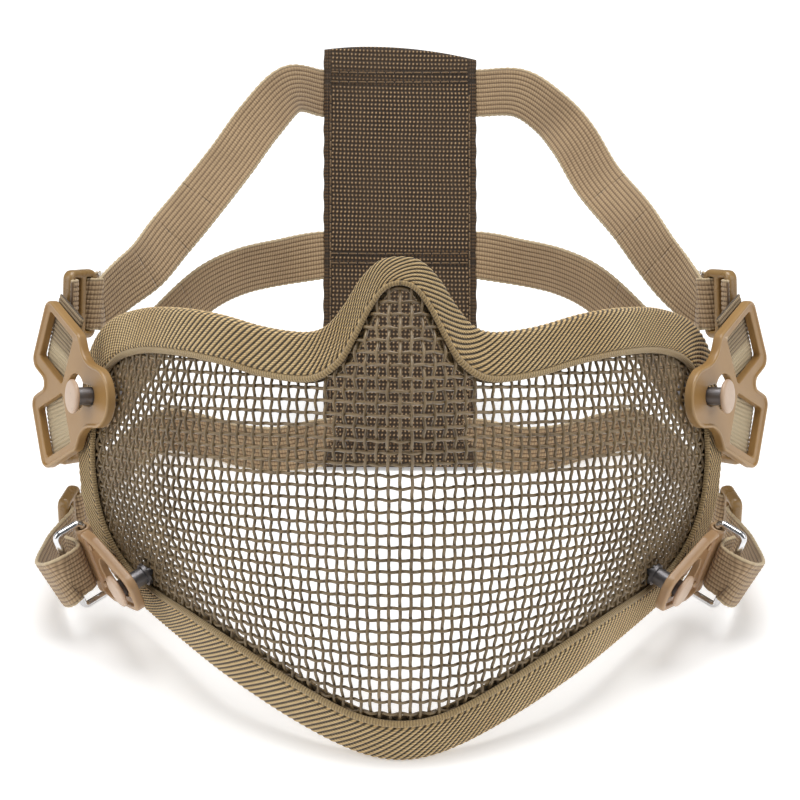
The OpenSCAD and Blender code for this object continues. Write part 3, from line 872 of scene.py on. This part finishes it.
def keyhole():
    """A narrow round end over the stud's post, opening into one that clears the cap."""
    meet = math.degrees(math.asin(KEY_SLOT_R / KEY_R))
    return (arc((0, 0), KEY_SLOT_R, 90, 270, 14)
            + arc((KEY_TRAVEL, 0), KEY_R, meet - 180, 180 - meet, 36))


WING_TURN = math.radians(24)
WING_AT = np.array([21, 11.2])
WINDOW = (15.8, 14.8)
WINDOW_R = 0.9
BUCKLE_BAR = 3
WAIST_BAR = 4.2
NOSE_ARC_AT = (-3, 0)
NOSE_ARC_R = 8.6
WING_R = 3.4
FLANK = (3.5, 9.4, 8)
NOTCH = (24.6, 0, 2)
WING_X = np.array([math.cos(WING_TURN), math.sin(WING_TURN)])
WING_Y = np.array([-math.sin(WING_TURN), math.cos(WING_TURN)])
BUCKLE_RIM = [(0.5, -2.8), (0.14, -2.66), (0, -2.3), (0, -0.75), (0.07, -0.32), (0.28, -0.07),
              (0.55, 0), (0.82, -0.06), (1.0, -0.22), (1.12, -0.4), (1.3, -0.46)]
BUCKLE_LIP = [(0.4, -0.46), (0.16, -0.52), (0.03, -0.68), (0, -0.95), (0, -2.45), (0.2, -2.8)]


def on_wing(a, b):
    """A point of the upper wing, along and across it from the window's middle."""
    return tuple(WING_AT + a * WING_X + b * WING_Y)


def fan_outline():
    """Two wings, the notch between them, and the round nose over the stud."""
    a, high = WINDOW[0] / 2 + BUCKLE_BAR, WINDOW[1] / 2 + BUCKLE_BAR
    low = WINDOW[1] / 2 + WAIST_BAR
    wing = [on_wing(x, y) + (WING_R,) for x, y in ((a, -low), (a, high), (-a, high))] + [FLANK]
    flipped = [(x, -y, r) for x, y, r in reversed(wing)]
    nose = arc(NOSE_ARC_AT, NOSE_ARC_R, 102, 258, 22)
    corners = flipped + [NOTCH] + wing
    points = list(nose)
    for k, corner in enumerate(corners):
        before = corners[k - 1] if k else nose[-1]
        after = corners[k + 1] if k + 1 < len(corners) else nose[0]
        points += fillet(before, corner, after, corner[2])
    return points


def make_fan_buckle(side_name, side):
    """The upper buckle: two strap windows and the keyhole."""
    loop = [on_wing(x, y) for x, y in rounded(box_corners(*WINDOW, WINDOW_R))]
    windows = [[(x, flip * y) for x, y in loop][::flip] for flip in (1, -1)]
    obj = plate(side_name + "_buckle_plate", fan_outline(), windows + [keyhole()], BUCKLE_RIM,
                BUCKLE_LIP, UPPER_PLATE, BUCKLE, side)
    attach(obj, side_name + "_buckle")
    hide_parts(side_name + "_fan_buckle")


TAB_RIM = [(0.5, -2.4), (0.14, -2.28), (0, -1.9), (0, -0.55), (0.12, -0.05), (0.5, 0.34),
           (1.0, 0.42), (1.5, 0.3), (1.85, -0.02), (2.05, -0.4), (2.3, -0.5)]
TAB_LIP = [(0.5, -0.5), (0.3, -0.28), (0.1, -0.36), (0, -0.7), (0, -2.1), (0.2, -2.4)]
PIPS = [(15.2, 6.6), (15.2, -6.6), (-4.8, 0)]
PIP = [(0.95, -0.6), (0.9, -0.1), (0.7, 0.16), (0.36, 0.3), (0.02, 0.33)]
TAB_CORNERS = [(-7.5, -5, 4.2), (12, -11, 4), (19, -11, 2.6), (19, 11, 2.6), (12, 11, 4),
               (-7.5, 5, 4.2)]
HINGE_PROFILE = [(1.06, -10.6), (1.9, -11), (2.2, -10.7), (2.34, -10), (2.34, 10), (2.2, 10.7),
                 (1.9, 11), (1.06, 10.6), (1.06, -10.6)]


def make_tab(side_name, side):
    """The lower tab: keyhole, three pips and the hinge barrel round the ring's inner bar."""
    barrel, faces = revolve(HINGE_PROFILE, 36)
    faces = faces[:-2]  # a closed profile needs no end caps
    barrel = np.stack([barrel[:, 0] + TAB_LEN, barrel[:, 2], -barrel[:, 1] - HINGE_DROP], 1)
    dome, dome_faces = revolve(PIP, 20)
    pips = [(dome + (x, y, 0), dome_faces) for x, y in PIPS]
    obj = plate(side_name + "_tab_plate", rounded(TAB_CORNERS), [keyhole()], TAB_RIM, TAB_LIP,
                LOWER_PLATE, TAB, side, extra=[(barrel, faces)] + pips)
    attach(obj, side_name + "_tab")
    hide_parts(side_name + "_lower_tab")


SLIDER_LEN = 12
SLIDER_W = 20
SLIDER_BAR = 2.2
SLIDER_RIM = [(1.3, -1.8), (0.6, -1.68), (0.16, -1.2), (0, -0.5), (0, 0.5), (0.16, 1.2),
              (0.6, 1.68), (1.1, 1.8)]
SLIDER_LIP = [(0.55, 1.8), (0.2, 1.66), (0, 1.3), (0, -1.3), (0.2, -1.66), (0.55, -1.8)]


def make_slider(name, matrix, body, side):
    """A three-bar slider."""
    gap = (SLIDER_LEN - 3 * SLIDER_BAR) / 2
    holes = [rounded(box_corners(gap, SLIDER_W - 2 * SLIDER_BAR, 0.5,
                                 (s * (SLIDER_BAR + gap) / 2, 0))) for s in (-1, 1)]
    obj = plate(name + "_bars", rounded(box_corners(SLIDER_LEN, SLIDER_W, 2.6)), holes,
                SLIDER_RIM, SLIDER_LIP, matrix, SLIDER, side)
    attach(obj, body)
    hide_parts(name)


POST_H = 9.6
CAP_PROFILE = [(0.01, 0), (3.9, 0), (4.45, 0.08), (4.7, 0.3), (4.8, 0.62), (4.74, 0.95),
               (4.5, 1.2), (4.2, 1.32), (3.2, 1.37), (0.01, 1.4)]


def make_cap(side_name, level, stud, side):
    """The pale disc on a stud."""
    points, faces = revolve(CAP_PROFILE, 56)
    points = points + (0, 0, MESH_HALF_T + POST_H)
    obj = build(f"{side_name}_{level}_cap_disc", moved(plate_matrix(stud, False), points), faces,
                CAP, side)
    obj.modifiers.new("even_shading", "WEIGHTED_NORMAL")
    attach(obj, f"{side_name}_{level}_stud")
    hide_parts(f"{side_name}_{level}_cap")


# ---- Elastic behind the buckle's bars, and the frayed end over the top slider ----
BAND_HALF = [((17.9, 23.1, -3.8), 1), ((19.6, 19, -3.6), 1), ((22.5, 11.8, -3.7), 1),
             ((25.2, 4, -3.7), 0.6)]
BAND_MIDDLE = (26, 0, -3.7)
BAND_FOLD = 1.2
BAND_STEP = 0.22


def make_band(side_name, side):
    """Gathered elastic behind both windows, with folds across it."""
    across = lambda share: (1, share * WING_X[1] / WING_X[0], 0)
    upper = [(p, across(k)) for p, k in BAND_HALF]
    lower = [((x, -y, z), across(-k)) for (x, y, z), k in BAND_HALF[:0:-1]]
    route = [(tuple(moved(UPPER_PLATE, p)), tuple(UPPER_PLATE[:3, :3] @ np.array(w)))
             for p, w in upper + [(BAND_MIDDLE, (1, 0, 0))] + lower]
    centre, width, out, s = strap_line(route)
    fine = np.linspace(0, s[-1], int(s[-1] / BAND_STEP))
    centre, width, out = (resampled(fine, s, part) for part in (centre, width, out))
    y = np.linspace(-0.5, 0.5, 23)
    fold = np.abs(np.sin(math.pi * fine / BAND_FOLD))[:, None] ** 0.8
    edge = np.clip((0.5 - np.abs(y)) * STRAP_W / 0.5, 0, 1) ** 0.5
    half = (0.26 + 0.3 * fold) * (0.4 + 0.6 * edge)
    span = y * (STRAP_W + 0.5 * fold)
    flat = centre[:, None] + width[:, None] * span[..., None]
    lift = out[:, None] * half[..., None]
    front, back = flat + lift, flat - lift
    points, faces = tube(np.concatenate([front, back[:, ::-1]], 1))
    across_mm = np.concatenate([span, span[:, ::-1]], 1)
    # The fold also goes in as the weave's height, so the band's colour darkens in the troughs of its
    # folds: painted shade in the creases.
    weave = np.stack(np.broadcast_arrays(across_mm, fine[:, None] * 0.5, fold), -1)
    obj = build(side_name + "_band", points, faces, BAND_PAINTED_SHADE, side, weave.reshape(-1, 3))
    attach(obj, side_name + "_buckle")
    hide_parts(side_name + "_buckle_band")


FRAYED_END = [(2.4, 0.3, 0.6), (3.8, 0.4, 2.4), (6.5, 0.7, 2.9), (9.5, 1.0, 2.4), (12, 1.4, 2.8)]
LOOSE_YARNS = 70
YARN_R = 0.09


def make_frayed_end(side_name, side):
    """The cut end of the top strap, lying over it beyond the slider, with loose yarns."""
    m = slider_matrix(TOP_SLIDER_AT)
    line = strap_line([(tuple(moved(m, p)), tuple(m[:3, 1])) for p in FRAYED_END])
    obj = ribbed(side_name + "_strap_end", line, 0, len(line[0]) - 1, side, STRAP)
    random = np.random.default_rng(5 if side > 0 else 9)
    parts = []
    step = np.linspace(0, 1, 5)[:, None]
    for _ in range(LOOSE_YARNS):
        y = random.uniform(-7.2, 7.4)
        reach = random.uniform([0.6, -1.2, -0.6], [2.0, 1.6, 1.6])
        curl = random.uniform(-0.8, 0.8, 3)
        local = np.array(FRAYED_END[-1]) + (0, y, 0) + step * reach + step ** 2 * curl
        centre = moved(m, local)
        ahead = unit(np.gradient(centre, axis=0))
        a = unit(np.cross(ahead, (0.3, 0.5, 0.8)))
        parts.append(tube(cord(centre, a, np.cross(ahead, a), YARN_R, 4)))
    points, faces = joined(parts)
    yarns = build(side_name + "_loose_yarns", points, faces, BAND_PAINTED_SHADE, side,
                  np.tile((0.2, 7.4, 0.9), (len(points), 1)))
    for piece in (obj, yarns):
        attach(piece, side_name + "_top_slider")


# ---- Back panel ----
PANEL_W = 48
PANEL_H = 133
LAYER_T = 1.4
PANEL_FOOT = (0, 153.2, 0.9)
PANEL_BOW = 1.6
YARN_X = 1.2
YARN_Z = 1.32
SELVEDGE_W = 2.2
CREST_X = -9  # the top edge is highest here, and falls away to both corners
LEFT_FALL = 1.2
RIGHT_FALL = 4.5
HIDDEN_STEP = 8
SEAMS = (124.5, 121.5, 67, 64, 8, 5)


def on_panel(p):
    """From the panel's own frame (x, out of its rear face, up) to the floor frame."""
    m = Matrix.Translation(PANEL_FOOT) @ Matrix.Rotation(-PANEL_LEAN, 4, "X")
    p = np.array(p, float)
    up = np.clip(p[..., 2] / PANEL_H, 0, 1)
    p[..., 1] += PANEL_BOW * (1 - (2 * p[..., 0] / PANEL_W) ** 2) * up
    return moved(np.array(m), p)


def make_panel_layer(name, face, replaced):
    """One layer of webbing: face is -1 for the wearer's side and 1 for the rear."""
    x = np.linspace(-PANEL_W / 2, PANEL_W / 2, 161)[None, :]
    fall = np.where(x < CREST_X, LEFT_FALL * ((x - CREST_X) / (CREST_X + PANEL_W / 2)) ** 2,
                    RIGHT_FALL * ((x - CREST_X) / (PANEL_W / 2 - CREST_X)) ** 2)
    z = np.linspace(0, 1, 401)[:, None] * (PANEL_H - fall)
    ends = np.abs(x) > PANEL_W / 2 - SELVEDGE_W
    drift = 0.12 * np.sin(z * 0.21) + 0.1 * np.sin(z * 1.7 + x * 0.4)
    crown = (np.abs(np.sin(math.pi * (x / YARN_X + drift))) ** 1.3
             * np.abs(np.sin(math.pi * z / YARN_Z + 0.05 * x)) ** 1.1)
    selvedge = 0.75 * np.abs(np.sin(math.pi * x / 0.75)) * np.abs(np.sin(math.pi * z / 1.1)) ** 0.7
    height = np.where(ends, selvedge, crown)
    # The seams press the weave's height down; through the webbing's colour this also darkens them as
    # painted shade.
    for seam in SEAMS:
        height = height * (1 - 0.55 * np.exp(-(((z - seam) / 0.7) ** 2)))
    to_end = np.minimum(z, PANEL_H - fall - z)
    edge = np.clip(np.minimum(PANEL_W / 2 - np.abs(x), to_end) / 0.5, 0, 1)
    out = (LAYER_T - 0.5 + 0.55 * height) * (0.35 + 0.65 * edge ** 0.5)
    wobble = 0.12 * np.sin(z * 0.9) * np.sign(x) * (np.abs(x) > PANEL_W / 2 - 0.6)
    top = np.stack([x + wobble, face * out, z + 0 * x], -1)
    rows, cols = top.shape[:2]
    faces = grid_faces(rows, cols, round_cols=False)
    border = ([j for j in range(cols)] + [i * cols + cols - 1 for i in range(1, rows)]
              + [(rows - 1) * cols + j for j in range(cols - 2, -1, -1)]
              + [i * cols for i in range(rows - 2, 0, -1)])
    flat = top.reshape(-1, 3)
    inner = top[1:-1, HIDDEN_STEP:-HIDDEN_STEP:HIDDEN_STEP].reshape(-1, 3)
    under = np.concatenate([flat[border], inner]) * (1, 0, 1)
    first = len(flat)
    n = len(border)
    cells = (cols - 1) // HIDDEN_STEP
    faces += [(border[(k + 1) % n], border[k], first + k, first + (k + 1) % n) for k in range(n)]

    def hidden(i, c):
        """The hidden side's vertex in row i at every HIDDEN_STEP-th column."""
        if i == 0:
            return first + HIDDEN_STEP * c
        if i == rows - 1:
            return first + rows + 2 * cols - 3 - HIDDEN_STEP * c
        if c == cells:
            return first + cols - 1 + i
        return first + n - i if c == 0 else first + n + (i - 1) * (cells - 1) + c - 1

    # The hidden side is bowed as well: one flat face would cut through the front
    for c in range(cells):
        faces.append((*range(hidden(0, c), hidden(0, c + 1) + 1), hidden(1, c + 1), hidden(1, c)))
        faces += [(hidden(i, c), hidden(i, c + 1), hidden(i + 1, c + 1), hidden(i + 1, c))
                  for i in range(1, rows - 2)]
        faces.append((hidden(rows - 2, c), hidden(rows - 2, c + 1),
                      *range(hidden(rows - 1, c + 1), hidden(rows - 1, c) + 1)))
    both = np.concatenate([flat, under])
    if face > 0:
        faces = [tuple(f)[::-1] for f in faces]
    tall = np.concatenate([height.ravel(), np.zeros(len(under))])
    weave = np.stack([both[:, 2], both[:, 0] * 0.2, tall], 1)
    obj = build(name, on_panel(both), faces, WEBBING, weave=weave)
    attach(obj, "harness")
    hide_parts(replaced)


STITCH_PITCH = 2.9
STITCH_GAP = 0.3
STITCH_LEN = 2.3
THREAD_R = 0.2
EDGE_SEAM_X = 21.8
PANEL_IN = (0, math.cos(PANEL_LEAN), -math.sin(PANEL_LEAN))


def make_stitching():
    """Thread across the panel at its seams and down its edges, on both faces."""
    lines = [((-22, z), (22, z)) for z in SEAMS]
    lines += [((s * EDGE_SEAM_X, 10), (s * EDGE_SEAM_X, 119)) for s in (-1, 1)]
    share = np.array([0, 0.12, 0.35, 0.65, 0.88, 1])
    arch = np.array([-0.25, 0.06, 0.16, 0.16, 0.06, -0.25])
    parts = []
    for (x1, z1), (x2, z2) in lines:
        ahead = unit(np.array([x2 - x1, z2 - z1]))
        count = int(math.hypot(x2 - x1, z2 - z1) / STITCH_PITCH)
        for k in range(count):
            start = np.array([x1, z1]) + ahead * (STITCH_PITCH * k + STITCH_GAP)
            for face in (-1, 1):
                flat = start + share[:, None] * ahead * STITCH_LEN
                y = face * (LAYER_T - 0.02 + arch)
                centre = on_panel(np.stack([flat[:, 0], y, flat[:, 1]], 1))
                run = unit(np.gradient(centre, axis=0))
                a = unit(np.cross(run, PANEL_IN))
                parts.append(tube(cord(centre, a, np.cross(run, a), THREAD_R, 6)))
    points, faces = joined(parts)
    obj = build("panel_stitching", points, faces, THREAD,
                weave=np.tile((0.2, 0.0, 0.7), (len(points), 1)))
    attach(obj, "harness")


# ---- The object ----
make_mesh()
make_binding()
for side_name, side in SIDES.items():
    make_straps(side_name, side)
    make_band(side_name, side)
    make_frayed_end(side_name, side)
    make_fan_buckle(side_name, side)
    make_tab(side_name, side)
    for level, matrix in (("top", slider_matrix(TOP_SLIDER_AT)),
                          ("middle", slider_matrix(MIDDLE_SLIDER_AT)), ("lower", LOWER_SLIDER)):
        slider = f"{side_name}_{level}_slider"
        make_slider(slider, matrix, slider, side)
    make_cap(side_name, "upper", UPPER, side)
    make_cap(side_name, "lower", LOWER, side)
make_panel_layer("panel_wearer_side", -1, "back_panel_inner")
make_panel_layer("panel_rear_side", 1, "back_panel_outer")
make_stitching()
for name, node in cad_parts.items():
    if name.endswith("_rivet") or name.endswith("_post"):
        node.data.materials.clear()
        node.data.materials.append(STEEL)
    elif name.endswith("_ring"):
        node.data.materials.clear()
        node.data.materials.append(CHROME)


# ---- Stage: pale floor, soft light and the camera ----
FLOOR_GLOW = 0.34
SKY_STRENGTH = 0.12


def make_stage():
    """A pale floor that glows a little, under a dim white sky."""
    mesh = bpy.data.meshes.new("floor")
    mesh.from_pydata([(-4, -4, 0), (4, -4, 0), (4, 4, 0), (-4, 4, 0)], [], [(0, 1, 2, 3)])
    floor = bpy.data.objects.new("floor", mesh)
    bpy.context.scene.collection.objects.link(floor)
    pale = bpy.data.materials.new("pale_floor")
    pale.use_nodes = True
    shader = pale.node_tree.nodes["Principled BSDF"]
    shader.inputs["Base Color"].default_value = (0.93, 0.93, 0.93, 1)
    shader.inputs["Roughness"].default_value = 0.9
    shader.inputs["Specular IOR Level"].default_value = 0.1
    shader.inputs["Emission Color"].default_value = (1, 1, 1, 1)
    shader.inputs["Emission Strength"].default_value = FLOOR_GLOW
    mesh.materials.append(pale)
    world = bpy.data.worlds.new("studio")
    world.use_nodes = True
    world.node_tree.nodes["Background"].inputs["Color"].default_value = (1, 1, 1, 1)
    world.node_tree.nodes["Background"].inputs["Strength"].default_value = SKY_STRENGTH
    bpy.context.scene.world = world


def soft_light(name, place, target, size, watts):
    """An area lamp of (width, height) in metres, turned to the target."""
    data = bpy.data.lights.new(name, "AREA")
    data.shape = "RECTANGLE"
    data.size, data.size_y = size
    data.energy = watts
    lamp = bpy.data.objects.new(name, data)
    lamp.location = place
    lamp.rotation_euler = (Vector(target) - Vector(place)).to_track_quat("-Z", "Y").to_euler()
    bpy.context.scene.collection.objects.link(lamp)


CAMERA_TARGET = (0, (68 - ORIGIN_Y) / 1000, 0.07)
CAMERA_DISTANCE = 0.75
CAMERA_UP = math.radians(28)
CAMERA_LENS = 123.6


def make_camera():
    """The photograph's view, from in front and above."""
    data = bpy.data.cameras.new("camera")
    data.sensor_width = 36
    data.lens = CAMERA_LENS
    camera = bpy.data.objects.new("camera", data)
    back = Vector((0, -math.cos(CAMERA_UP), math.sin(CAMERA_UP)))
    camera.location = Vector(CAMERA_TARGET) + CAMERA_DISTANCE * back
    camera.rotation_euler = (-back).to_track_quat("-Z", "Y").to_euler()
    bpy.context.scene.collection.objects.link(camera)
    bpy.context.scene.camera = camera


make_stage()
soft_light("top", (0, 0.15, 1.0), (0, 0, 0), (0.7, 0.7), 8.5)
soft_light("left", (-0.75, -0.35, 0.5), (0, -0.03, 0.06), (0.7, 0.9), 3.8)
soft_light("right", (0.75, -0.35, 0.5), (0, -0.03, 0.06), (0.7, 0.9), 3.2)
make_camera()
bpy.context.scene.view_settings.view_transform = "Standard"
